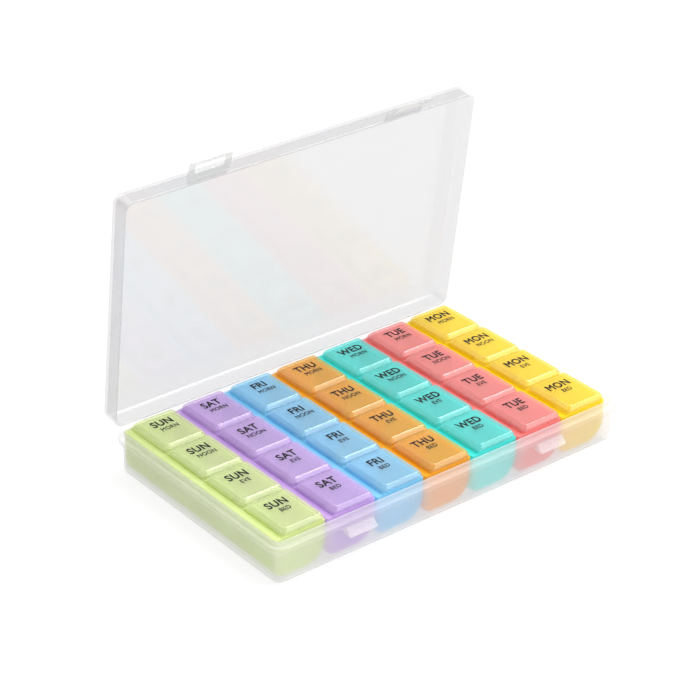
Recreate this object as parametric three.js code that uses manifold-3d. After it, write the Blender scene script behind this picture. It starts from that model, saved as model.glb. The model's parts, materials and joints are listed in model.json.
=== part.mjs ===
// Travel pill organizer: a hinged translucent case with seven lift-out day trays.
// Each tray holds four compartments, and each compartment has its own flip lid.
// Millimetres. +Z is up, +X runs along the case from the first day to the last, and -Y is the latch side.
// The origin is the middle of the case's underside. The case lid is modelled open, as it stands in use.

import * as THREE from 'three';
import { ConvexGeometry } from 'three/addons/geometries/ConvexGeometry.js';
import { mergeVertices } from 'three/addons/utils/BufferGeometryUtils.js';
import Module from 'manifold-3d';

const wasm = await Module();
wasm.setup();

// Case outline, measured over the lid.
const CASE_X = 222.0;
const CASE_Y = 135.4;
const CASE_CORNER = 5.5;

// Case base.
const BASE_TOP = 23.9;
const BASE_INSET = 0.7;
const BASE_EDGE = 3.0;
const BASE_FLOOR = 1.6;
const CAVITY_INSET = 2.2;
const CAVITY_EDGE = 1.8;
const CAVITY_CORNER = 2.0;
const LIP_INSET = 1.45;
const FLANGE_BOTTOM = 17.6;
const FLANGE_TOP = 21.6;
const FLANGE_REACH = 1.6;
const FLANGE_EDGE = 0.8;

// Catches on the front of the base: a wedge that slopes down to its tip.
const CATCH_SPACING = 124.0;
const CATCH_WIDTH = 17.2;
const CATCH_TIP_Y = -5.1;
const CATCH_TIP_TOP = 14.9;
const CATCH_TIP_BOTTOM = 14.4;
const CATCH_ROOT_TOP = 17.7;
const CATCH_ROOT_BOTTOM = 14.9;

// Case lid, described closed, then turned open about its hinge.
const LID_DEPTH = 11.45;
const LID_WALL = 1.25;
const LID_EDGE = 1.6;
const LID_REST_GAP = 0.2;
const LID_OPEN_DEG = 81.5;
const HINGE_OUT = 2.1;
const HINGE_BEAD_R = 0.75;
const HINGE_LENGTH = 186.0;
const HINGE_CLEARANCE = 0.3;

// Latch flaps on the lid, each with a window that passes over a catch.
const LATCH_WIDTH = 25.5;
const LATCH_LENGTH = 10.8;
const LATCH_THICKNESS = 1.2;
const LATCH_CORNER = 1.6;
const LATCH_HINGE_OUT = 2.4;
const LATCH_HINGE_Z = 22.3;
const LATCH_TAB_WIDTH = 23.5;
const WINDOW_WIDTH = 18.4;
const WINDOW_NEAR = 3.5;
const WINDOW_FAR = 8.6;
const LEFT_LATCH_DEG = 79.0;
const RIGHT_LATCH_DEG = 48.0;

// Day trays.
const TRAY_START_X = 2.5;
const TRAY_PITCH = 30.65;
const TRAY_WIDTH = 29.9;
const TRAY_FRONT = 3.6;
const TRAY_BACK = 132.9;
const TRAY_BOTTOM = 1.9;
const TRAY_TOP = 24.2;
const TRAY_WALL = 1.2;
const TRAY_END_EDGE = 1.5;
const TRAY_SMALL_R = 4.5;
const TRAY_SCOOP_R = 12.0;
const LEDGE_WIDTH = 4.2;
const LEDGE_TOP = 23.8;
const LEDGE_THICKNESS = 1.0;

// Compartment flip lids, hinged along the tray's ledge.
const FLIP_HINGE_X = 4.0;
const FLIP_HINGE_Z = 24.35;
const FLIP_LEFT = 4.1;
const FLIP_RIGHT = 29.6;
const FLIP_GAP = 0.7;
const FLIP_BOTTOM = 24.5;
const FLIP_SHOULDER = 25.9;
const FLIP_TOP = 28.0;
const FLIP_BEVEL_LEFT = 2.4;
const FLIP_BEVEL_RIGHT = 1.3;
const FLIP_BEVEL_ENDS = 2.0;
const FLIP_CORNER = 2.5;
const FLIP_WALL = 1.0;

const DAYS = [
  { name: 'sunday', tray: 0xc9dc8c, lid: 0xc6dc86 },
  { name: 'saturday', tray: 0xb995d6, lid: 0xb48fd4 },
  { name: 'friday', tray: 0x86bce6, lid: 0x6fb7e8 },
  { name: 'thursday', tray: 0xf0a25c, lid: 0xee9c3a },
  { name: 'wednesday', tray: 0x63cbc8, lid: 0x4cc7c2 },
  { name: 'tuesday', tray: 0xf78c86, lid: 0xf7807a },
  { name: 'monday', tray: 0xf8cf52, lid: 0xfacb33 },
];
// Compartments from the hinge side of the case to the latch side.
const TIMES = ['morning', 'noon', 'evening', 'bedtime'];

const CLEAR_COLOUR = 0xf1eef0;
const CORNER_STEPS = 5;
const FAR = 60.0;
const OVERRUN = 5.0;

const rad = THREE.MathUtils.degToRad;

function plastic(colour, opacity) {
  return new THREE.MeshStandardMaterial({
    color: colour,
    roughness: 0.32,
    metalness: 0.0,
    transparent: true,
    opacity,
  });
}

function solid(geometry) {
  const bare = geometry.index ? geometry.toNonIndexed() : geometry.clone();
  bare.deleteAttribute('normal');
  bare.deleteAttribute('uv');
  const merged = mergeVertices(bare, 1e-4);
  return new wasm.Manifold(
    new wasm.Mesh({
      numProp: 3,
      vertProperties: Float32Array.from(merged.attributes.position.array),
      triVerts: Uint32Array.from(merged.index.array),
    }),
  );
}

function surface(manifold) {
  const mesh = manifold.getMesh();
  const geometry = new THREE.BufferGeometry();
  geometry.setAttribute('position', new THREE.BufferAttribute(Float32Array.from(mesh.vertProperties), 3));
  geometry.setIndex(new THREE.BufferAttribute(Uint32Array.from(mesh.triVerts), 1));
  geometry.computeVertexNormals();
  return geometry;
}

function node(name, shape, material) {
  const mesh = new THREE.Mesh(surface(shape), material);
  mesh.name = name;
  return mesh;
}

// A rectangle with round corners, centred on the origin.
function roundedRectangle(width, depth, radius) {
  const x = width / 2 - radius;
  const y = depth / 2 - radius;
  const shape = new THREE.Shape();
  shape.moveTo(x + radius, -y);
  shape.lineTo(x + radius, y);
  shape.absarc(x, y, radius, 0, Math.PI / 2, false);
  shape.lineTo(-x, y + radius);
  shape.absarc(-x, y, radius, Math.PI / 2, Math.PI, false);
  shape.lineTo(-x - radius, -y);
  shape.absarc(-x, -y, radius, Math.PI, Math.PI * 1.5, false);
  shape.lineTo(x, -y - radius);
  shape.absarc(x, -y, radius, Math.PI * 1.5, Math.PI * 2, false);
  return shape;
}

// An upright block of that outline from z low to high, its horizontal edges rounded by edge.
function roundedBlock(inset, low, high, edge, steps = 3, radius = CASE_CORNER - inset) {
  const outline = roundedRectangle(CASE_X - 2 * inset, CASE_Y - 2 * inset, radius);
  const geometry = new THREE.ExtrudeGeometry(outline, {
    depth: high - low - 2 * edge,
    curveSegments: CORNER_STEPS,
    bevelEnabled: edge > 0,
    bevelThickness: edge,
    bevelSize: edge,
    bevelOffset: -edge,
    bevelSegments: steps,
  });
  geometry.translate(0, 0, low + edge);
  return solid(geometry);
}

function box(x0, x1, y0, y1, z0, z1) {
  const geometry = new THREE.BoxGeometry(x1 - x0, y1 - y0, z1 - z0);
  geometry.translate((x0 + x1) / 2, (y0 + y1) / 2, (z0 + z1) / 2);
  return solid(geometry);
}

function rodAlongX(length, radius, x, y, z) {
  const geometry = new THREE.CylinderGeometry(radius, radius, length, 12);
  geometry.rotateZ(Math.PI / 2);
  geometry.translate(x, y, z);
  return solid(geometry);
}

// A prism along X from an outline of [y, z] points that run anticlockwise as seen from +X.
function prismAlongX(points, x0, x1) {
  const outline = new THREE.Shape(points.map(([y, z]) => new THREE.Vector2(y, z)));
  const geometry = new THREE.ExtrudeGeometry(outline, { depth: x1 - x0, bevelEnabled: false });
  // The outline's own x, y and extrusion become Y, Z and X.
  geometry.applyMatrix4(new THREE.Matrix4().set(0, 0, 1, x0, 1, 0, 0, 0, 0, 1, 0, 0, 0, 0, 0, 1));
  return solid(geometry);
}

const FRONT = -CASE_Y / 2;
const BACK = CASE_Y / 2;
const LEFT = -CASE_X / 2;
const HINGE_Y = BACK + HINGE_OUT;
const LATCH_XS = [-CATCH_SPACING / 2, CATCH_SPACING / 2];

function catchWedge(x) {
  const root = FRONT + BASE_INSET + 0.4;
  const outline = [
    [root, CATCH_ROOT_TOP],
    [FRONT - FLANGE_REACH, CATCH_ROOT_TOP],
    [FRONT + CATCH_TIP_Y, CATCH_TIP_TOP],
    [FRONT + CATCH_TIP_Y, CATCH_TIP_BOTTOM],
    [root, CATCH_ROOT_BOTTOM],
  ];
  return prismAlongX(outline, x - CATCH_WIDTH / 2, x + CATCH_WIDTH / 2);
}

function caseBase() {
  // The walls' upper rounding stays hidden inside the flange.
  const walls = roundedBlock(BASE_INSET, 0, FLANGE_TOP - 0.4, BASE_EDGE);
  const flange = roundedBlock(-FLANGE_REACH, FLANGE_BOTTOM, FLANGE_TOP, FLANGE_EDGE, 2);
  const lip = roundedBlock(LIP_INSET, FLANGE_BOTTOM, BASE_TOP, 0);
  const cavity = roundedBlock(CAVITY_INSET, BASE_FLOOR, FAR, CAVITY_EDGE, 2, CAVITY_CORNER);
  const hingeGroove = rodAlongX(
    HINGE_LENGTH + 2 * HINGE_CLEARANCE,
    HINGE_BEAD_R + HINGE_CLEARANCE,
    0,
    HINGE_Y,
    FLANGE_TOP,
  );
  let shape = walls.add(flange).add(lip);
  for (const x of LATCH_XS) {
    shape = shape.add(catchWedge(x));
  }
  return shape.subtract(cavity).subtract(hingeGroove);
}

// The lid is described closed, in case coordinates.
function caseLid() {
  const rim = FLANGE_TOP + LID_REST_GAP;
  const top = FLANGE_TOP + LID_DEPTH;
  const outer = roundedBlock(0, rim - FAR, top, LID_EDGE);
  const inner = roundedBlock(LID_WALL, rim - FAR - 1, top - LID_WALL, LID_EDGE - LID_WALL / 2, 2);
  const below = box(-CASE_X, CASE_X, -CASE_Y, CASE_Y, -2 * FAR, rim);
  const hingeRoom = LIP_INSET - LID_WALL;
  const leaf = box(-HINGE_LENGTH / 2, HINGE_LENGTH / 2, BACK - hingeRoom, HINGE_Y, rim, rim + HINGE_BEAD_R);
  const bead = rodAlongX(HINGE_LENGTH, HINGE_BEAD_R, 0, HINGE_Y, FLANGE_TOP);
  let shape = outer.subtract(inner).subtract(below).add(leaf).add(bead);
  const tabFront = FRONT - LATCH_HINGE_OUT + LATCH_THICKNESS / 2 + HINGE_CLEARANCE;
  for (const x of LATCH_XS) {
    const half = LATCH_TAB_WIDTH / 2;
    shape = shape.add(box(x - half, x + half, tabFront, FRONT + 0.4, rim, rim + LATCH_THICKNESS));
  }
  return shape;
}

// A flap hanging down from its hinge line, which is the origin.
function latchFlap() {
  const half = LATCH_WIDTH / 2;
  const outline = new THREE.Shape();
  outline.moveTo(half, 0);
  outline.lineTo(-half, 0);
  outline.lineTo(-half, -LATCH_LENGTH + LATCH_CORNER);
  outline.absarc(-half + LATCH_CORNER, -LATCH_LENGTH + LATCH_CORNER, LATCH_CORNER, Math.PI, Math.PI * 1.5, false);
  outline.lineTo(half - LATCH_CORNER, -LATCH_LENGTH);
  outline.absarc(half - LATCH_CORNER, -LATCH_LENGTH + LATCH_CORNER, LATCH_CORNER, Math.PI * 1.5, Math.PI * 2, false);
  const window = new THREE.Path();
  window.moveTo(-WINDOW_WIDTH / 2, -WINDOW_NEAR);
  window.lineTo(WINDOW_WIDTH / 2, -WINDOW_NEAR);
  window.lineTo(WINDOW_WIDTH / 2, -WINDOW_FAR);
  window.lineTo(-WINDOW_WIDTH / 2, -WINDOW_FAR);
  outline.holes.push(window);
  const plate = new THREE.ExtrudeGeometry(outline, {
    depth: LATCH_THICKNESS,
    bevelEnabled: false,
    curveSegments: 4,
  });
  // Stand the plate up, facing -Y, its thickness centred on the hinge line.
  plate.rotateX(Math.PI / 2);
  plate.translate(0, LATCH_THICKNESS / 2, 0);
  return solid(plate).add(rodAlongX(LATCH_WIDTH, LATCH_THICKNESS / 2, 0, 0, 0));
}

// A tray's section, run on past its top: a small round at the lower left, a large scoop at the lower right.
function traySection(inset) {
  const left = inset;
  const right = TRAY_WIDTH - inset;
  const bottom = TRAY_BOTTOM + inset;
  const small = TRAY_SMALL_R - inset;
  const scoop = TRAY_SCOOP_R - inset;
  const shape = new THREE.Shape();
  shape.moveTo(right, TRAY_TOP + OVERRUN);
  shape.lineTo(left, TRAY_TOP + OVERRUN);
  shape.lineTo(left, bottom + small);
  shape.absarc(left + small, bottom + small, small, Math.PI, Math.PI * 1.5, false);
  shape.lineTo(right - scoop, bottom);
  shape.absarc(right - scoop, bottom + scoop, scoop, Math.PI * 1.5, Math.PI * 2, false);
  return shape;
}

// That section run from y0 to y1, with the tray's left edge at x = 0 and its end edges rounded by edge.
function trayPrism(inset, y0, y1, edge) {
  const geometry = new THREE.ExtrudeGeometry(traySection(inset), {
    depth: y1 - y0 - 2 * edge,
    curveSegments: 5,
    bevelEnabled: edge > 0,
    bevelThickness: edge,
    bevelSize: edge,
    bevelOffset: -edge,
    bevelSegments: 2,
  });
  geometry.rotateX(Math.PI / 2);
  geometry.translate(0, y1 - edge, 0);
  return solid(geometry);
}

const ROW_PITCH = (TRAY_BACK - TRAY_FRONT) / TIMES.length;

// Back and front edges of compartment row number i, counted from the back.
function row(i) {
  const back = FRONT + TRAY_BACK - i * ROW_PITCH;
  return { back, front: back - ROW_PITCH };
}

function tray() {
  const above = box(-1, TRAY_WIDTH + 1, -CASE_Y, CASE_Y, TRAY_TOP, FAR);
  let shape = trayPrism(0, FRONT + TRAY_FRONT, FRONT + TRAY_BACK, TRAY_END_EDGE).subtract(above);
  for (let i = 0; i < TIMES.length; i += 1) {
    const { front, back } = row(i);
    const frontWall = i === TIMES.length - 1 ? TRAY_WALL : TRAY_WALL / 2;
    const backWall = i === 0 ? TRAY_WALL : TRAY_WALL / 2;
    const y0 = front + frontWall;
    const y1 = back - backWall;
    const hollow = trayPrism(TRAY_WALL, y0, y1, 0);
    const underLedge = box(-1, LEDGE_WIDTH, y0 - 1, y1 + 1, LEDGE_TOP - LEDGE_THICKNESS, FAR);
    shape = shape.subtract(hollow.subtract(underLedge));
  }
  const aboveLedge = box(-1, LEDGE_WIDTH - 0.1, -CASE_Y, CASE_Y, LEDGE_TOP, FAR);
  return shape.subtract(aboveLedge);
}

// Corner points of a rectangle with round corners, at one height.
function ring(x0, x1, y0, y1, z, radius) {
  const points = [];
  const corners = [
    [x1 - radius, y1 - radius, 0],
    [x0 + radius, y1 - radius, 1],
    [x0 + radius, y0 + radius, 2],
    [x1 - radius, y0 + radius, 3],
  ];
  for (const [x, y, quarter] of corners) {
    for (let k = 0; k <= 2; k += 1) {
      const angle = (quarter + k / 2) * (Math.PI / 2);
      points.push(new THREE.Vector3(x + radius * Math.cos(angle), y + radius * Math.sin(angle), z));
    }
  }
  return points;
}

// A shallow cap with sloping sides, relative to its hinge line and its row's middle.
function flipBlock(inset, bottom) {
  const half = (ROW_PITCH - FLIP_GAP) / 2 - inset;
  const x0 = FLIP_LEFT - FLIP_HINGE_X + inset;
  const x1 = FLIP_RIGHT - FLIP_HINGE_X - inset;
  const shoulder = FLIP_SHOULDER - FLIP_HINGE_Z - 0.4 * inset;
  const top = FLIP_TOP - FLIP_HINGE_Z - inset;
  const radius = FLIP_CORNER - inset;
  const y = half - FLIP_BEVEL_ENDS;
  return solid(
    new ConvexGeometry([
      ...ring(x0, x1, -half, half, bottom, radius),
      ...ring(x0, x1, -half, half, shoulder, radius),
      ...ring(x0 + FLIP_BEVEL_LEFT, x1 - FLIP_BEVEL_RIGHT, -y, y, top, radius * 0.8),
    ]),
  );
}

function flipLid() {
  const bottom = FLIP_BOTTOM - FLIP_HINGE_Z;
  return flipBlock(0, bottom).subtract(flipBlock(FLIP_WALL, bottom - 1));
}

const organizer = new THREE.Group();
organizer.add(node('case_base', caseBase(), plastic(CLEAR_COLOUR, 0.45)));

const openLid = new THREE.Group();
openLid.position.set(0, HINGE_Y, FLANGE_TOP);
openLid.rotation.x = rad(-LID_OPEN_DEG);
const closedLid = new THREE.Group();
closedLid.position.set(0, -HINGE_Y, -FLANGE_TOP);
closedLid.add(node('case_lid', caseLid(), plastic(CLEAR_COLOUR, 0.45)));
openLid.add(closedLid);
organizer.add(openLid);

const LATCHES = [
  { name: 'left_latch', x: LATCH_XS[0], degrees: LEFT_LATCH_DEG },
  { name: 'right_latch', x: LATCH_XS[1], degrees: RIGHT_LATCH_DEG },
];
for (const { name, x, degrees } of LATCHES) {
  const flap = node(name, latchFlap(), plastic(CLEAR_COLOUR, 0.5));
  flap.position.set(x, FRONT - LATCH_HINGE_OUT, LATCH_HINGE_Z);
  flap.rotation.x = rad(-degrees);
  closedLid.add(flap);
}

DAYS.forEach((day, column) => {
  const strip = new THREE.Group();
  strip.position.x = LEFT + TRAY_START_X + column * TRAY_PITCH;
  strip.add(node(`${day.name}_tray`, tray(), plastic(day.tray, 0.6)));
  TIMES.forEach((time, i) => {
    const { front, back } = row(i);
    const lid = node(`${day.name}_${time}_lid`, flipLid(), plastic(day.lid, 0.6));
    lid.position.set(FLIP_HINGE_X, (front + back) / 2, FLIP_HINGE_Z);
    strip.add(lid);
  });
  organizer.add(strip);
});

export default organizer;
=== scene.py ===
"""The looks of a travel pill organizer: frosted case, seven tinted day trays and twenty-eight flip lids.

Shapes are worked out in millimetres in the CAD frame and become metres when a mesh is made.
"""
import json
import math

import bmesh
import bpy
import numpy as np
from mathutils import Matrix, Vector


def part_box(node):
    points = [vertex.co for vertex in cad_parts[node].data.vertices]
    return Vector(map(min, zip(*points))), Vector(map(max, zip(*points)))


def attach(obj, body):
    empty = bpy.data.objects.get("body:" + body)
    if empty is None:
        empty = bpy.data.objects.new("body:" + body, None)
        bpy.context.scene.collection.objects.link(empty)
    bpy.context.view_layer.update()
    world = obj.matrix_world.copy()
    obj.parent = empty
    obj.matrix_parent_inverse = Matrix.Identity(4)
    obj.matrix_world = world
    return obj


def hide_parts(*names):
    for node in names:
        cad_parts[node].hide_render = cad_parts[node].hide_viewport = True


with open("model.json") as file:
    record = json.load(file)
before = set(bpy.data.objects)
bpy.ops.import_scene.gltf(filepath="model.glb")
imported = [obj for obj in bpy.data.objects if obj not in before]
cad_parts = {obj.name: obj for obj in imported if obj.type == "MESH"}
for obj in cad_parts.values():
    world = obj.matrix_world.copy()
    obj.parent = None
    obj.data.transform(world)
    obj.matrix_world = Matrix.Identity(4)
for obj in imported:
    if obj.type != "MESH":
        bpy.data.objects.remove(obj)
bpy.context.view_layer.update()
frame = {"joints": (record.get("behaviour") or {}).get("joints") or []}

MM = 0.001
DAYS = ("sunday", "saturday", "friday", "thursday", "wednesday", "tuesday", "monday")
TIMES = ("morning", "noon", "evening", "bedtime")
TIME_WORDS = {"morning": "MORN", "noon": "NOON", "evening": "EVE", "bedtime": "BED"}

# Case, in millimetres. Insets are measured inwards from the lid's outline.
FLANGE_REACH = 1.6
CASE_CORNER = 5.5
BASE_INSET = 0.7
BASE_EDGE = 3.0
BASE_FLOOR = 1.6
FLANGE_BOTTOM = 17.6
FLANGE_SLANT = 0.8
FLANGE_EDGE = 0.8
LIP_INSET = 1.45
CAVITY_INSET = 2.2
CAVITY_EDGE = 1.8
CAVITY_CORNER = 2.0
CAVITY_CORNER_CLOSING = 0.9
SMALLEST_CORNER = 0.15
LID_DEPTH = 11.45
LID_WALL = 1.25
LID_EDGE = 1.6
LID_INNER_EDGE = 1.0
LID_REST_GAP = 0.2
HINGE_BEAD_R = 0.6
HINGE_BEAD_ARC = (165, 430)
HINGE_LEAF = 0.75
HINGE_LEAF_BEVEL = 0.12
HINGE_LENGTH = 186.0
RIM_ROUND = 0.3

# Catches and latch flaps. ROOT_DEPTH is how far a part's root sits inside the wall it grows from.
CATCH_WIDTH = 17.2
CATCH_BEVEL = 0.22
CATCH_REACH = 5.1
CATCH_TIP_TOP = 14.9
CATCH_TIP_BOTTOM = 14.4
CATCH_ROOT_BOTTOM = 14.9
ROOT_DEPTH = 0.05
LATCH_WIDTH = 25.5
LATCH_LENGTH = 10.8
LATCH_THICKNESS = 1.2
LATCH_CORNER = 1.6
LATCH_BEVEL = 0.32
LATCH_HINGE_OUT = 2.4
LATCH_HINGE_Z = 22.3
LATCH_TAB_WIDTH = 23.5
LATCH_TAB_ROOT = 1.3
LATCH_TAB_TIP = 0.9
LATCH_TAB_GAP = 0.12
LATCH_TAB_BEVEL = 0.15
WINDOW_WIDTH = 18.4
WINDOW_NEAR = 3.5
WINDOW_FAR = 8.6
WINDOW_CORNER = 0.5

# Trays.
TRAY_WALL = 1.2
TRAY_END_EDGE = 1.5
TRAY_SMALL_R = 4.5
TRAY_SCOOP_R = 12.0
TRAY_BEVEL = 0.18
LEDGE_WIDTH = 4.1
LEDGE_DROP = 0.4
LEDGE_THICKNESS = 1.0
HOLLOW_EDGE = 0.8
MOUTH_GAP = 0.1
CUT_ABOVE = 5.0

# Flip lids.
FLIP_SHOULDER = 1.4
FLIP_BEVEL_LEFT = 2.4
FLIP_BEVEL_RIGHT = 1.3
FLIP_BEVEL_ENDS = 2.0
FLIP_BEVEL_LAST = 1.3
FLIP_CORNER = 2.5
FLIP_CORNER_CLOSING = 0.9
FLIP_SMALLEST_CORNER = 0.4
FLIP_WALL = 1.0
FLIP_FOOT_R = 0.2
FLIP_EDGE = 0.4
FLIP_CROWN = 0.12
FLIP_INNER_SHOULDER = 0.4
FLIP_CEILING_EDGE = 0.15
FLIP_CEILING_SLOPES = (0.9, 1.1)
FLIP_TOP_SHARES = (0.94, 0.85, 0.7, 0.52, 0.34, 0.17)
FLIP_CEILING_SHARES = (0.9, 0.7, 0.45, 0.2)

# Printed words. Size is the height of the capitals before stretch lengthens them towards the hinge side,
# weight thickens the strokes, and shift is the word's middle measured from the middle of its lid.
DAY_TEXT = {"size": 4.4, "stretch": 1.25, "weight": 0.19, "shift": (-0.6, 5.3)}
TIME_TEXT = {"size": 2.45, "stretch": 1.25, "weight": 0.09, "shift": (0.2, -0.8)}
INK_GAP = 0.01
INK_HEIGHT = 0.03
BUILT_IN_CAP_HEIGHT = 0.72
LETTER_SPACING = 1.08

# Colours: 0-255 display values for the days, linear values for the clear plastics.
DAY_COLOURS = {
    "sunday": (233, 244, 174),
    "saturday": (222, 188, 243),
    "friday": (150, 226, 254),
    "thursday": (254, 189, 26),
    "wednesday": (66, 243, 238),
    "tuesday": (255, 150, 146),
    "monday": (255, 232, 10),
}
CLEAR_TINT = (0.985, 0.985, 0.985)
MILKY = (0.9, 0.89, 0.905)
SMOKY = (0.59, 0.585, 0.6)
GREYISH = (0.6, 0.6, 0.59)

# Moulded plastic. Noise scales are per metre, and GRAIN is the share by which the roughness varies.
CLOUD_SCALE = 38.0
CLOUD_DETAIL = 3.0
GRAIN_SCALE = 120.0
GRAIN = 0.15
SLANT_POWER = 5.0

# Ink.
INK_DARK = (0.004, 0.004, 0.005)
INK_PALE = (0.012, 0.012, 0.014)
INK_ROUGHNESS = 0.7
INK_SHINE = 0.15
SPECKLE_SCALE = 1500.0

# Day plastics. Tints are lifted towards white, and bodies are paler than the day's colour.
TINT_LIFT = 0.55
TRAY_BODY_POWER = 0.8
LID_BODY_POWER = 0.5

# Studio. Each lamp has its name, its direction from the object, its width in degrees and its strength.
LAMPS = (
    ("key", (0.53, 0.05, 0.85), 50.0, 3.55),
    ("back", (0.0, 0.7, 0.72), 48.0, 0.7),
    ("front", (0.52, -0.74, 0.42), 48.0, 1.0),
)
WORLD_STRENGTH = 0.75
FLOOR_HALF = 9000.0
FLOOR_CORNER = 200.0
FLOOR_GREY = 0.18
FLOOR_GLOW = 0.8
FLOOR_ROUGHNESS = 0.9
FLOOR_SHINE = 0.1

# Camera, in degrees, metres and millimetres of lens and sensor.
CAMERA_AZIMUTH = 38.43
CAMERA_ELEVATION = 28.99
CAMERA_DISTANCE = 1.2996
CAMERA_TARGET = Vector((0.0366, 0.0628, 0.0222))
CAMERA_LENS = 123.43
CAMERA_SENSOR = 36.0

# Points of a mesh that are nearer than this, in metres, are one point.
MERGE_DISTANCE = 1e-7


# ---------------------------------------------------------------- meshes

def make_object(name, vertices, faces, matrix=None):
    """A mesh object from millimetre vertices, its faces all turned outwards."""
    mesh = bpy.data.meshes.new(name)
    points = np.asarray(vertices, float) * MM
    mesh.from_pydata(points.tolist(), [], faces)
    if matrix is not None:
        mesh.transform(matrix)
    builder = bmesh.new()
    builder.from_mesh(mesh)
    bmesh.ops.recalc_face_normals(builder, faces=builder.faces)
    builder.to_mesh(mesh)
    builder.free()
    obj = bpy.data.objects.new(name, mesh)
    bpy.context.scene.collection.objects.link(obj)
    return obj


def smooth(obj, angle=38.0):
    """Smooth shading, sharp where faces meet at more than this angle, flats kept flat."""
    for polygon in obj.data.polygons:
        polygon.use_smooth = True
    obj.data.set_sharp_from_angle(angle=math.radians(angle))
    weighted = obj.modifiers.new("flat_faces", "WEIGHTED_NORMAL")
    weighted.keep_sharp = True
    return obj


def bevel(obj, width, segments=2, angle=35.0):
    """Rounds the edges where faces meet at more than this angle."""
    modifier = obj.modifiers.new("edges", "BEVEL")
    modifier.width = width * MM
    modifier.segments = segments
    modifier.limit_method = "ANGLE"
    modifier.angle_limit = math.radians(angle)
    return obj


def apply_modifiers(obj):
    """Replaces the object's mesh by its mesh with every modifier applied."""
    depsgraph = bpy.context.evaluated_depsgraph_get()
    mesh = bpy.data.meshes.new_from_object(obj.evaluated_get(depsgraph))
    obj.modifiers.clear()
    obj.data = mesh


def arc(u, z, radius, start, end, steps):
    """Points on an arc about (u, z), angles in degrees."""
    angles = np.radians(np.linspace(start, end, steps + 1))
    return [(u + radius * math.cos(a), z + radius * math.sin(a)) for a in angles]


def bezier(a, b, c, steps):
    """Points on a quadratic curve from a towards b to c."""
    points = []
    for t in np.linspace(0, 1, steps + 1):
        points.append(
            tuple((1 - t) ** 2 * p + 2 * t * (1 - t) * q + t ** 2 * r for p, q, r in zip(a, b, c))
        )
    return points


def rectangle_ring(x0, x1, y0, y1, radius, z, arc_steps=8, side_steps=1):
    """A closed loop of points round a rectangle with round corners, anticlockwise."""
    corners = (
        (x1 - radius, y1 - radius, 0.0),
        (x0 + radius, y1 - radius, 90.0),
        (x0 + radius, y0 + radius, 180.0),
        (x1 - radius, y0 + radius, 270.0),
    )
    ring = []
    for number, (x, y, start) in enumerate(corners):
        points = arc(x, y, radius, start, start + 90.0, arc_steps)
        ring.extend(points)
        following = corners[(number + 1) % 4]
        target = arc(following[0], following[1], radius, following[2], following[2], 1)[0]
        for step in range(1, side_steps):
            share = step / side_steps
            ring.append(
                (
                    points[-1][0] + share * (target[0] - points[-1][0]),
                    points[-1][1] + share * (target[1] - points[-1][1]),
                )
            )
    return [(px, py, z) for px, py in ring]


def loft(rings, start_cap=True, end_cap=True):
    """Vertices and faces of a skin over rings that all have the same number of points."""
    count = len(rings[0])
    vertices = [point for ring in rings for point in ring]
    faces = []
    for level in range(len(rings) - 1):
        low = level * count
        high = low + count
        for k in range(count):
            following = (k + 1) % count
            faces.append((low + k, low + following, high + following, high + k))
    if start_cap:
        faces.append(tuple(reversed(range(count))))
    if end_cap:
        faces.append(tuple(range(len(vertices) - count, len(vertices))))
    return vertices, faces


def prism_along_x(name, outline, x0, x1, matrix=None):
    """A solid whose outline of (y, z) points runs from x0 to x1."""
    rings = [[(x, y, z) for y, z in outline] for x in (x0, x1)]
    vertices, faces = loft(rings)
    return make_object(name, vertices, faces, matrix)


def cut(obj, cutter):
    """Takes the cutter's volume out of the object and deletes the cutter."""
    modifier = obj.modifiers.new("cut", "BOOLEAN")
    modifier.operation = "DIFFERENCE"
    modifier.solver = "EXACT"
    modifier.object = cutter
    apply_modifiers(obj)
    bpy.data.objects.remove(cutter)


# ---------------------------------------------------------------- sizes read from the frame

def joint(name):
    """The frame's joint of this name."""
    return next(j for j in frame["joints"] if j["name"] == name)


def box_mm(node):
    """The lowest and highest corner of a node, in millimetres."""
    low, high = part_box(node)
    return np.array(low) / MM, np.array(high) / MM


base_high = box_mm("case_base")[1]
HALF_X = base_high[0] - FLANGE_REACH
HALF_Y = base_high[1] - FLANGE_REACH
BASE_TOP = base_high[2]
hinge = joint("case_lid_hinge")
HINGE_Y = hinge["pos_m"][1] / MM
FLANGE_TOP = hinge["pos_m"][2] / MM
OPEN_ANGLE = -hinge["range_deg"][0]

# Carries a point of the closed lid to where the open lid has it.
hinge_point = Vector(hinge["pos_m"])
LID_TURN = (
    Matrix.Translation(hinge_point)
    @ Matrix.Rotation(math.radians(-OPEN_ANGLE), 4, "X")
    @ Matrix.Translation(-hinge_point)
)


# ---------------------------------------------------------------- case

def case_ring(inset, z, corner=None):
    """A loop round the case at one height, drawn in from the lid's outline by the inset."""
    radius = CASE_CORNER - inset if corner is None else corner
    x = HALF_X - inset
    y = HALF_Y - inset
    return rectangle_ring(-x, x, -y, y, max(radius, SMALLEST_CORNER), z, arc_steps=10)


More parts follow.
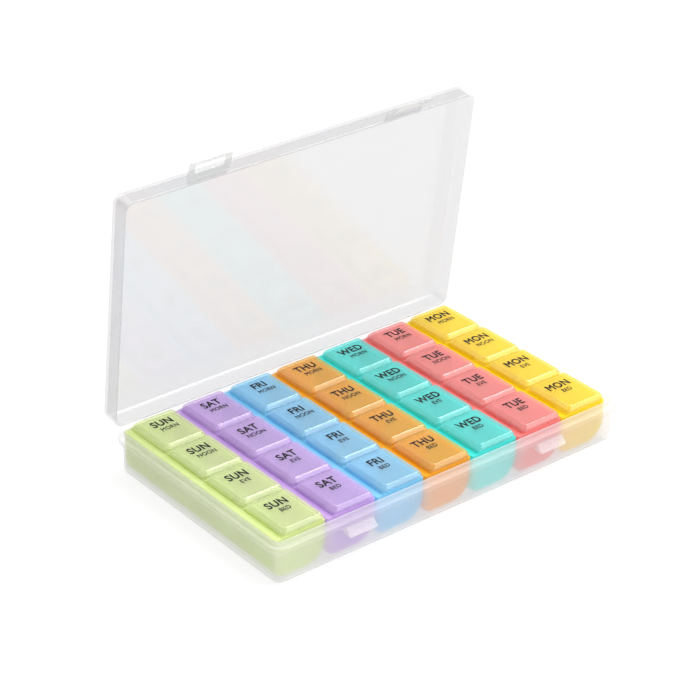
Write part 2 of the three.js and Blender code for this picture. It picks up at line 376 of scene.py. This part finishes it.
def base_rings():
    """The base's skin, from the middle of its underside out, up, over the lip and down to its floor.

    The flange's underside slants from the wall up to the flange's face, with both corners rounded.
    """
    edge = FLANGE_EDGE
    wall = BASE_INSET
    face = -FLANGE_REACH
    low = FLANGE_BOTTOM - FLANGE_SLANT
    high = FLANGE_BOTTOM + FLANGE_SLANT
    rise = edge * (high - low) / (wall - face)
    outside = arc(wall + BASE_EDGE, BASE_EDGE, BASE_EDGE, 270, 180, 8)
    outside += bezier((wall, low - edge), (wall, low), (wall - edge, low + rise), 5)
    outside += bezier((face + edge, high - rise), (face, high), (face, high + edge), 5)
    outside += arc(face + edge, FLANGE_TOP - edge, edge, 180, 90, 5)
    outside += arc(LIP_INSET - RIM_ROUND, FLANGE_TOP + RIM_ROUND, RIM_ROUND, 270, 360, 3)
    outside += arc(LIP_INSET + RIM_ROUND, BASE_TOP - RIM_ROUND, RIM_ROUND, 180, 90, 3)
    inside = arc(CAVITY_INSET - RIM_ROUND, BASE_TOP - RIM_ROUND, RIM_ROUND, 90, 0, 3)
    inside += arc(CAVITY_INSET + CAVITY_EDGE, BASE_FLOOR + CAVITY_EDGE, CAVITY_EDGE, 180, 270, 6)
    rings = [case_ring(u, z) for u, z in outside]
    for u, z in inside:
        rings.append(case_ring(u, z, CAVITY_CORNER + CAVITY_CORNER_CLOSING * (CAVITY_INSET - u)))
    return rings


def make_case_base():
    """The open tub with its flange and its thin lip."""
    vertices, faces = loft(base_rings())
    return smooth(make_object("case_base_shell", vertices, faces))


def catch_outline():
    """A wedge on the base's front that slopes down to a blunt tip, as (y, z) points."""
    root = -HALF_Y + BASE_INSET + ROOT_DEPTH
    tip = -HALF_Y - CATCH_REACH
    return [
        (root, FLANGE_BOTTOM),
        (ROOT_DEPTH - HALF_Y - FLANGE_REACH, FLANGE_BOTTOM + FLANGE_SLANT),
        (tip, CATCH_TIP_TOP),
        (tip, CATCH_TIP_BOTTOM),
        (root, CATCH_ROOT_BOTTOM),
    ]


def make_catch(name, x):
    """One catch, which is a part of the base."""
    catch = prism_along_x(name, catch_outline(), x - CATCH_WIDTH / 2, x + CATCH_WIDTH / 2)
    return smooth(bevel(catch, CATCH_BEVEL, segments=3))


def lid_rings():
    """The closed lid's skin, from the middle of its top out, down, round the rim and back up inside."""
    top = FLANGE_TOP + LID_DEPTH
    rim = FLANGE_TOP + LID_REST_GAP
    profile = arc(LID_EDGE, top - LID_EDGE, LID_EDGE, 90, 180, 7)
    profile += arc(RIM_ROUND, rim + RIM_ROUND, RIM_ROUND, 180, 270, 3)
    profile += arc(LID_WALL - RIM_ROUND, rim + RIM_ROUND, RIM_ROUND, 270, 360, 3)
    edge = LID_INNER_EDGE
    profile += arc(LID_WALL + edge, top - LID_WALL - edge, edge, 180, 90, 5)
    return [case_ring(u, z) for u, z in profile]


def make_case_lid():
    """The lid's shell, turned to where it stands open."""
    vertices, faces = loft(lid_rings())
    return smooth(make_object("case_lid_shell", vertices, faces, LID_TURN))


def make_hinge_leaf():
    """The strip along the lid's back rim that ends in a round bead on the hinge line."""
    rim = FLANGE_TOP + LID_REST_GAP
    root = HALF_Y - 2 * ROOT_DEPTH
    outline = [(root, rim + HINGE_LEAF), (root, rim)]
    outline += arc(HINGE_Y, FLANGE_TOP, HINGE_BEAD_R, *HINGE_BEAD_ARC, 10)
    leaf = prism_along_x("case_lid_hinge_leaf", outline, -HINGE_LENGTH / 2, HINGE_LENGTH / 2, LID_TURN)
    return smooth(bevel(leaf, HINGE_LEAF_BEVEL, angle=50))


def make_latch_tab(name, x):
    """The tab on the lid's front rim that a latch flap hangs from."""
    rim = FLANGE_TOP + LID_REST_GAP
    root = -HALF_Y + ROOT_DEPTH
    tip = -HALF_Y - LATCH_HINGE_OUT + LATCH_THICKNESS / 2 + LATCH_TAB_GAP
    outline = [(root, rim), (root, rim + LATCH_TAB_ROOT), (tip, rim + LATCH_TAB_TIP), (tip, rim)]
    half = LATCH_TAB_WIDTH / 2
    tab = prism_along_x(name, outline, x - half, x + half, LID_TURN)
    return smooth(bevel(tab, LATCH_TAB_BEVEL))


# ---------------------------------------------------------------- latch flaps

def make_latch(name, x, hanging_to_rest):
    """A plate with a window, hanging from its hinge line and then turned out to where it rests.

    The last ring lies on the first one, and merging the two closes the plate.
    """
    half_w = LATCH_WIDTH / 2
    half_t = LATCH_THICKNESS / 2
    outer = rectangle_ring(-half_w, half_w, -LATCH_LENGTH, half_t, LATCH_CORNER, 0.0, 6)
    half_window = WINDOW_WIDTH / 2
    inner = rectangle_ring(-half_window, half_window, -WINDOW_FAR, -WINDOW_NEAR, WINDOW_CORNER, 0.0, 6)
    rings = []
    for loop, depth in ((outer, -half_t), (outer, half_t), (inner, half_t), (inner, -half_t)):
        rings.append([(point[0], depth, point[1]) for point in loop])
    vertices, faces = loft(rings + [rings[0]], start_cap=False, end_cap=False)
    hinge_line = Vector((x, -HALF_Y - LATCH_HINGE_OUT, LATCH_HINGE_Z)) * MM
    place = (
        LID_TURN
        @ Matrix.Translation(hinge_line)
        @ Matrix.Rotation(math.radians(-hanging_to_rest), 4, "X")
    )
    flap = make_object(name, vertices, faces, place)
    builder = bmesh.new()
    builder.from_mesh(flap.data)
    bmesh.ops.remove_doubles(builder, verts=builder.verts, dist=MERGE_DISTANCE)
    bmesh.ops.recalc_face_normals(builder, faces=builder.faces)
    builder.to_mesh(flap.data)
    builder.free()
    return smooth(bevel(flap, LATCH_BEVEL, segments=3, angle=50))


# ---------------------------------------------------------------- day trays

def tray_section(x0, x1, bottom, top, inset):
    """The tray's outline as (x, z): ledge at the left, small round and scoop below."""
    left = x0 + inset
    right = x1 - inset
    low = bottom + inset
    ledge = top - LEDGE_DROP
    points = [(right, top), (x0 + LEDGE_WIDTH, top), (x0 + LEDGE_WIDTH, ledge), (left, ledge)]
    small = TRAY_SMALL_R - inset
    scoop = TRAY_SCOOP_R - inset
    points += arc(left + small, low + small, small, 180, 270, 8)
    points += arc(right - scoop, low + scoop, scoop, 270, 360, 14)
    return points


def hollow_section(x0, x1, bottom, top, inset):
    """One compartment's outline, run on above the tray: it is undercut below the ledge."""
    left = x0 + TRAY_WALL
    right = x1 - TRAY_WALL - inset
    low = bottom + TRAY_WALL + inset
    under = top - LEDGE_DROP - LEDGE_THICKNESS
    mouth = x0 + LEDGE_WIDTH + MOUTH_GAP + inset
    above = top + CUT_ABOVE
    points = [(right, above), (mouth, above), (mouth, under - inset), (left + inset, under - inset)]
    small = TRAY_SMALL_R - TRAY_WALL - inset
    scoop = TRAY_SCOOP_R - TRAY_WALL - inset
    points += arc(left + inset + small, low + small, small, 180, 270, 8)
    points += arc(right - scoop, low + scoop, scoop, 270, 360, 14)
    return points


def section_loft(name, section, sizes, y0, y1, edge, steps):
    """Runs a section from y0 to y1, drawing it in at both ends round an arc of this radius."""
    near = [(y0 + dy, edge - drop) for dy, drop in arc(edge, 0, edge, 180, 90, steps)]
    far = [(y0 + y1 - y, inset) for y, inset in reversed(near)]
    rings = []
    for y, inset in near + far:
        rings.append([(px, y, pz) for px, pz in section(*sizes, inset)])
    vertices, faces = loft(rings)
    return make_object(name, vertices, faces)


def row_edges(low, high):
    """(front, back) of each compartment row, from the hinge side of the case to the latch side."""
    pitch = (high[1] - low[1]) / len(TIMES)
    return [(high[1] - (i + 1) * pitch, high[1] - i * pitch) for i in range(len(TIMES))]


def make_tray(day):
    """One day's tray: a solid body with its four compartments cut out."""
    low, high = box_mm(f"{day}_tray")
    sizes = (low[0], high[0], low[2], high[2])
    tray = section_loft(f"{day}_tray_body", tray_section, sizes, low[1], high[1], TRAY_END_EDGE, 5)
    for number, (front, back) in enumerate(row_edges(low, high)):
        front_wall = TRAY_WALL if number == len(TIMES) - 1 else TRAY_WALL / 2
        back_wall = TRAY_WALL if number == 0 else TRAY_WALL / 2
        y0 = front + front_wall
        y1 = back - back_wall
        cut(tray, section_loft("hollow", hollow_section, sizes, y0, y1, HOLLOW_EDGE, 3))
    return smooth(bevel(tray, TRAY_BEVEL, angle=42))


# ---------------------------------------------------------------- flip lids

def crown(x, y, low, high):
    """How far the lid's top swells above its edge at a place, in millimetres."""
    u = (2 * x - low[0] - high[0]) / (high[0] - low[0])
    v = (2 * y - low[1] - high[1]) / (high[1] - low[1])
    return FLIP_CROWN * max(0.0, 1 - u * u) * max(0.0, 1 - v * v)


def flip_ring(low, high, front_bevel, slope, z, shrink, inset, swell):
    """One level of a flip lid.

    Slope is 0 at the shoulder and 1 at the top edge. Shrink closes the level in towards its middle, and
    swell is the share of the crown that it has.
    """
    x0 = low[0] + inset + FLIP_BEVEL_LEFT * slope
    x1 = high[0] - inset - FLIP_BEVEL_RIGHT * slope
    y0 = low[1] + inset + front_bevel * slope
    y1 = high[1] - inset - FLIP_BEVEL_ENDS * slope
    radius = max(FLIP_CORNER - inset - FLIP_CORNER_CLOSING * slope, FLIP_SMALLEST_CORNER)
    ring = rectangle_ring(x0, x1, y0, y1, radius, z, arc_steps=6, side_steps=7)
    cx = (x0 + x1) / 2
    cy = (y0 + y1) / 2
    points = []
    for px, py, pz in ring:
        px = cx + (px - cx) * shrink
        py = cy + (py - cy) * shrink
        points.append((px, py, pz + swell * crown(px, py, low, high)))
    return points


def make_flip_lid(name, low, high, front_bevel):
    """A shallow cap with sloping sides and a slightly crowned top, hollow below."""
    bottom = low[2]
    top = high[2] - FLIP_CROWN
    shoulder = bottom + FLIP_SHOULDER
    rise = top - shoulder

    def ring(slope, z, shrink=1.0, inset=0.0, swell=0.0):
        """flip_ring for this lid."""
        return flip_ring(low, high, front_bevel, slope, z, shrink, inset, swell)

    foot = arc(FLIP_FOOT_R, bottom + FLIP_FOOT_R, FLIP_FOOT_R, 270, 180, 3)
    rings = [ring(0, z, inset=u) for u, z in foot]
    edge = FLIP_EDGE / rise
    side = bezier((0, shoulder - FLIP_EDGE), (0, shoulder), (edge, shoulder + FLIP_EDGE), 4)
    side += bezier((1 - edge, top - FLIP_EDGE), (1, top), (1 + edge, top), 6)
    rings += [ring(slope, z) for slope, z in side]
    flat = 1 + edge
    for share in FLIP_TOP_SHARES:
        rings.append(ring(flat, top, shrink=share, swell=1))
    outer_vertices, outer_faces = loft(rings, start_cap=False)

    ceiling = top - FLIP_WALL
    inner = [ring(0, bottom, inset=FLIP_WALL - FLIP_FOOT_R)]
    inner.append(ring(0, bottom + FLIP_FOOT_R, inset=FLIP_WALL))
    inner.append(ring(0, shoulder - FLIP_INNER_SHOULDER, inset=FLIP_WALL))
    near, flat = FLIP_CEILING_SLOPES
    inner.append(ring(near, ceiling - FLIP_CEILING_EDGE, inset=FLIP_WALL))
    inner.append(ring(flat, ceiling, inset=FLIP_WALL))
    for share in FLIP_CEILING_SHARES:
        inner.append(ring(flat, ceiling, shrink=share, inset=FLIP_WALL, swell=1))
    inner_vertices, inner_faces = loft(inner, start_cap=False)

    offset = len(outer_vertices)
    count = len(rings[0])
    faces = outer_faces + [tuple(i + offset for i in face) for face in inner_faces]
    for k in range(count):
        following = (k + 1) % count
        faces.append((k, offset + k, offset + following, following))
    return smooth(make_object(name, outer_vertices + inner_vertices, faces), angle=60)


# ---------------------------------------------------------------- printed words

def word_mesh(word, style, low, high):
    """A word as a thin raised print that follows the lid's crown."""
    curve = bpy.data.curves.new(word, "FONT")
    curve.body = word
    curve.size = style["size"] * MM / BUILT_IN_CAP_HEIGHT
    curve.align_x = "CENTER"
    curve.align_y = "CENTER"
    curve.resolution_u = 4
    curve.space_character = LETTER_SPACING
    curve.bevel_depth = style["weight"] * MM
    curve.bevel_resolution = 1
    holder = bpy.data.objects.new(word, curve)
    bpy.context.scene.collection.objects.link(holder)
    depsgraph = bpy.context.evaluated_depsgraph_get()
    mesh = bpy.data.meshes.new_from_object(holder.evaluated_get(depsgraph))
    bpy.data.objects.remove(holder)
    bpy.data.curves.remove(curve)
    centre_x = (low[0] + high[0]) / 2 + style["shift"][0]
    centre_y = (low[1] + high[1]) / 2 + style["shift"][1]
    top = high[2] - FLIP_CROWN
    for vertex in mesh.vertices:
        x = vertex.co.x / MM + centre_x
        y = vertex.co.y / MM * style["stretch"] + centre_y
        height = INK_HEIGHT * (vertex.co.z / MM / style["weight"] + 1.0) / 2
        vertex.co = Vector((x, y, top + crown(x, y, low, high) + INK_GAP + height)) * MM
    return mesh


def make_label(name, day, time, low, high):
    """The day and the time of day, printed on a flip lid."""
    joined = bmesh.new()
    for word, style in ((day[:3].upper(), DAY_TEXT), (TIME_WORDS[time], TIME_TEXT)):
        mesh = word_mesh(word, style, low, high)
        joined.from_mesh(mesh)
        bpy.data.meshes.remove(mesh)
    bmesh.ops.remove_doubles(joined, verts=joined.verts, dist=MERGE_DISTANCE)
    mesh = bpy.data.meshes.new(name)
    joined.to_mesh(mesh)
    joined.free()
    label = bpy.data.objects.new(name, mesh)
    bpy.context.scene.collection.objects.link(label)
    return label


# ---------------------------------------------------------------- materials

def new_material(name):
    """An empty node material, with its nodes and its links."""
    material = bpy.data.materials.new(name)
    material.use_nodes = True
    material.node_tree.nodes.clear()
    return material, material.node_tree.nodes, material.node_tree.links


def plastic(
    name, body, tint, see_through, roughness=0.1, cloud=0.03, haze=0.5, mirror=(0.04, 1.0), outline=0.0
):
    """Translucent moulded plastic.

    Some light goes straight through and takes the tint, some is scattered back by the cloudy body
    and some is scattered on through it (haze). The surface mirrors the first share of mirror when
    seen square on and the second when seen edge on. Seen edge on, outline is the share of the light
    going straight through that is taken away: painted shade that darkens the outlines, partly
    standing for the longer path of light through the plastic there.
    """
    material, nodes, links = new_material(name)
    output = nodes.new("ShaderNodeOutputMaterial")
    back = nodes.new("ShaderNodeBsdfPrincipled")
    back.inputs["Specular IOR Level"].default_value = 0.0
    onward = nodes.new("ShaderNodeBsdfTranslucent")
    clear = nodes.new("ShaderNodeBsdfTransparent")
    gloss = nodes.new("ShaderNodeBsdfAnisotropic")
    cloudy = nodes.new("ShaderNodeMixShader")
    cloudy.inputs["Fac"].default_value = haze
    inside = nodes.new("ShaderNodeMixShader")
    surface = nodes.new("ShaderNodeMixShader")

    place = nodes.new("ShaderNodeTexCoord")
    clouds = nodes.new("ShaderNodeTexNoise")
    clouds.inputs["Scale"].default_value = CLOUD_SCALE
    clouds.inputs["Detail"].default_value = CLOUD_DETAIL
    links.new(place.outputs["Object"], clouds.inputs["Vector"])

    shade = nodes.new("ShaderNodeMix")
    shade.data_type = "RGBA"
    shade.inputs["A"].default_value = (*[c * (1 - cloud) for c in body], 1.0)
    shade.inputs["B"].default_value = (*[min(1.0, c * (1 + cloud)) for c in body], 1.0)
    links.new(clouds.outputs["Fac"], shade.inputs["Factor"])
    links.new(shade.outputs["Result"], back.inputs["Base Color"])
    links.new(shade.outputs["Result"], onward.inputs["Color"])

    cover = nodes.new("ShaderNodeMapRange")
    cover.inputs["To Min"].default_value = see_through + cloud
    cover.inputs["To Max"].default_value = see_through - cloud
    links.new(clouds.outputs["Fac"], cover.inputs["Value"])
    links.new(cover.outputs["Result"], inside.inputs["Fac"])

    grain = nodes.new("ShaderNodeTexNoise")
    grain.inputs["Scale"].default_value = GRAIN_SCALE
    links.new(place.outputs["Object"], grain.inputs["Vector"])
    polish = nodes.new("ShaderNodeMapRange")
    polish.inputs["To Min"].default_value = (1 - GRAIN) * roughness
    polish.inputs["To Max"].default_value = (1 + GRAIN) * roughness
    links.new(grain.outputs["Fac"], polish.inputs["Value"])
    links.new(polish.outputs["Result"], gloss.inputs["Roughness"])

    slant = nodes.new("ShaderNodeLayerWeight")
    slant.inputs["Blend"].default_value = 0.5
    steep = nodes.new("ShaderNodeMath")
    steep.operation = "POWER"
    steep.inputs[1].default_value = SLANT_POWER
    links.new(slant.outputs["Facing"], steep.inputs[0])
    mirrored = nodes.new("ShaderNodeMapRange")
    mirrored.inputs["To Min"].default_value = mirror[0]
    mirrored.inputs["To Max"].default_value = mirror[1]
    links.new(steep.outputs["Value"], mirrored.inputs["Value"])
    links.new(mirrored.outputs["Result"], surface.inputs["Fac"])
    # Painted shade: where the surface is seen edge on, the straight-through tint is darkened by outline.
    depth = nodes.new("ShaderNodeMix")
    depth.data_type = "RGBA"
    depth.inputs["A"].default_value = (*tint, 1.0)
    depth.inputs["B"].default_value = (*[c * (1 - outline) for c in tint], 1.0)
    links.new(steep.outputs["Value"], depth.inputs["Factor"])
    links.new(depth.outputs["Result"], clear.inputs["Color"])

    links.new(back.outputs["BSDF"], cloudy.inputs[1])
    links.new(onward.outputs["BSDF"], cloudy.inputs[2])
    links.new(cloudy.outputs["Shader"], inside.inputs[1])
    links.new(clear.outputs["BSDF"], inside.inputs[2])
    links.new(inside.outputs["Shader"], surface.inputs[1])
    links.new(gloss.outputs["BSDF"], surface.inputs[2])
    links.new(surface.outputs["Shader"], output.inputs["Surface"])
    return material


def ink_material():
    """Matt black print with a very fine speckle."""
    material, nodes, links = new_material("black_ink")
    output = nodes.new("ShaderNodeOutputMaterial")
    shader = nodes.new("ShaderNodeBsdfPrincipled")
    place = nodes.new("ShaderNodeTexCoord")
    speckle = nodes.new("ShaderNodeTexNoise")
    speckle.inputs["Scale"].default_value = SPECKLE_SCALE
    links.new(place.outputs["Object"], speckle.inputs["Vector"])
    shade = nodes.new("ShaderNodeMix")
    shade.data_type = "RGBA"
    shade.inputs["A"].default_value = (*INK_DARK, 1.0)
    shade.inputs["B"].default_value = (*INK_PALE, 1.0)
    links.new(speckle.outputs["Fac"], shade.inputs["Factor"])
    links.new(shade.outputs["Result"], shader.inputs["Base Color"])
    shader.inputs["Roughness"].default_value = INK_ROUGHNESS
    shader.inputs["Specular IOR Level"].default_value = INK_SHINE
    links.new(shader.outputs["BSDF"], output.inputs["Surface"])
    return material


def srgb(r, g, b):
    """Linear colour from 0-255 display values."""
    values = []
    for c in (r, g, b):
        c = c / 255
        values.append(c / 12.92 if c <= 0.04045 else ((c + 0.055) / 1.055) ** 2.4)
    return tuple(values)


# ---------------------------------------------------------------- putting it together

def wear(piece, material, body, node=None):
    """Gives a piece its material, the body it rides on and the node it stands for."""
    piece.data.materials.clear()
    piece.data.materials.append(material)
    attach(piece, body)
    if node:
        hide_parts(node)


# The frosted base gets painted shade along its outlines, where it is seen edge on (outline).
base_plastic = plastic(
    "frosted_base_plastic", MILKY, CLEAR_TINT,
    see_through=0.705, roughness=0.3, cloud=0.01, mirror=(0.04, 0.3), outline=0.45,
)
lid_plastic = plastic(
    "frosted_lid_plastic", SMOKY, CLEAR_TINT,
    see_through=0.7, roughness=0.1, cloud=0.006, mirror=(0.06, 0.3),
)
leaf_plastic = plastic(
    "frosted_leaf_plastic", MILKY, CLEAR_TINT,
    see_through=0.86, roughness=0.12, cloud=0.01, mirror=(0.03, 0.5),
)
catch_plastic = plastic(
    "frosted_catch_plastic", MILKY, CLEAR_TINT,
    see_through=0.78, roughness=0.2, cloud=0.01, mirror=(0.06, 0.6),
)
flap_plastic = plastic(
    "frosted_flap_plastic", GREYISH, CLEAR_TINT,
    see_through=0.62, roughness=0.15, cloud=0.01, mirror=(0.05, 0.35),
)
black_ink = ink_material()

wear(make_case_base(), base_plastic, "case_base", "case_base")
wear(make_case_lid(), lid_plastic, "case_lid", "case_lid")
wear(make_hinge_leaf(), leaf_plastic, "case_lid")
for side in ("left", "right"):
    turn = joint(f"{side}_latch_hinge")
    centre_x = turn["pos_m"][0] / MM
    wear(make_catch(f"{side}_catch", centre_x), catch_plastic, "case_base")
    wear(make_latch_tab(f"{side}_latch_tab", centre_x), lid_plastic, "case_lid")
    flap = make_latch(f"{side}_latch_flap", centre_x, -turn["range_deg"][0])
    wear(flap, flap_plastic, f"{side}_latch", f"{side}_latch")

for day in DAYS:
    colour = srgb(*DAY_COLOURS[day])
    tint = tuple(TINT_LIFT + (1 - TINT_LIFT) * c for c in colour)
    tray_body = tuple(c ** TRAY_BODY_POWER for c in colour)
    lid_body = tuple(c ** LID_BODY_POWER for c in colour)
    tray_plastic = plastic(
        f"{day}_tray_plastic", tray_body, tint,
        see_through=0.45, roughness=0.14, haze=0.4,
    )
    flip_plastic = plastic(
        f"{day}_lid_plastic", lid_body, tint,
        see_through=0.74, roughness=0.1, haze=0.3, mirror=(0.08, 1.0),
    )
    wear(make_tray(day), tray_plastic, f"{day}_tray", f"{day}_tray")
    for time in TIMES:
        node = f"{day}_{time}_lid"
        low, high = box_mm(node)
        front_bevel = FLIP_BEVEL_LAST if time == TIMES[-1] else FLIP_BEVEL_ENDS
        wear(make_flip_lid(f"{node}_cap", low, high, front_bevel), flip_plastic, node, node)
        label = make_label(f"{node}_print", day, time, low, high)
        wear(label, black_ink, node)


# ---------------------------------------------------------------- floor, light and camera

def make_floor():
    """A plain pale floor, large enough that its far edge never shows."""
    half = FLOOR_HALF
    vertices, faces = loft([rectangle_ring(-half, half, -half, half, FLOOR_CORNER, 0)], start_cap=False)
    floor = make_object("floor", vertices, faces)
    material, nodes, links = new_material("pale_floor")
    output = nodes.new("ShaderNodeOutputMaterial")
    shader = nodes.new("ShaderNodeBsdfPrincipled")
    shader.inputs["Base Color"].default_value = (FLOOR_GREY, FLOOR_GREY, FLOOR_GREY, 1.0)
    shader.inputs["Emission Color"].default_value = (1.0, 1.0, 1.0, 1.0)
    shader.inputs["Emission Strength"].default_value = FLOOR_GLOW
    shader.inputs["Roughness"].default_value = FLOOR_ROUGHNESS
    shader.inputs["Specular IOR Level"].default_value = FLOOR_SHINE
    links.new(shader.outputs["BSDF"], output.inputs["Surface"])
    floor.data.materials.append(material)


def add_softbox(name, towards, width_deg, strength):
    """A far, even, round softbox in the given direction from the object."""
    data = bpy.data.lights.new(name, "SUN")
    data.angle = math.radians(width_deg)
    data.energy = strength
    lamp = bpy.data.objects.new(name, data)
    bpy.context.scene.collection.objects.link(lamp)
    lamp.rotation_euler = Vector(towards).to_track_quat("Z", "Y").to_euler()


def light_studio():
    """Even white surroundings and the soft lamps."""
    world = bpy.data.worlds.new("studio")
    bpy.context.scene.world = world
    world.use_nodes = True
    background = world.node_tree.nodes["Background"]
    background.inputs["Color"].default_value = (1.0, 1.0, 1.0, 1.0)
    background.inputs["Strength"].default_value = WORLD_STRENGTH
    for lamp in LAMPS:
        add_softbox(*lamp)


def add_camera():
    """The camera at the photo's angle, with everything in focus."""
    data = bpy.data.cameras.new("camera")
    data.lens = CAMERA_LENS
    data.sensor_width = CAMERA_SENSOR
    data.clip_start = 0.01
    data.clip_end = 20.0
    camera = bpy.data.objects.new("camera", data)
    bpy.context.scene.collection.objects.link(camera)
    azimuth = math.radians(CAMERA_AZIMUTH)
    elevation = math.radians(CAMERA_ELEVATION)
    away = Vector(
        (
            -math.sin(azimuth) * math.cos(elevation),
            -math.cos(azimuth) * math.cos(elevation),
            math.sin(elevation),
        )
    )
    camera.location = CAMERA_TARGET + away * CAMERA_DISTANCE
    camera.rotation_euler = (-away).to_track_quat("-Z", "Y").to_euler()
    bpy.context.scene.camera = camera


make_floor()
light_studio()
add_camera()
bpy.context.scene.view_settings.view_transform = "Standard"
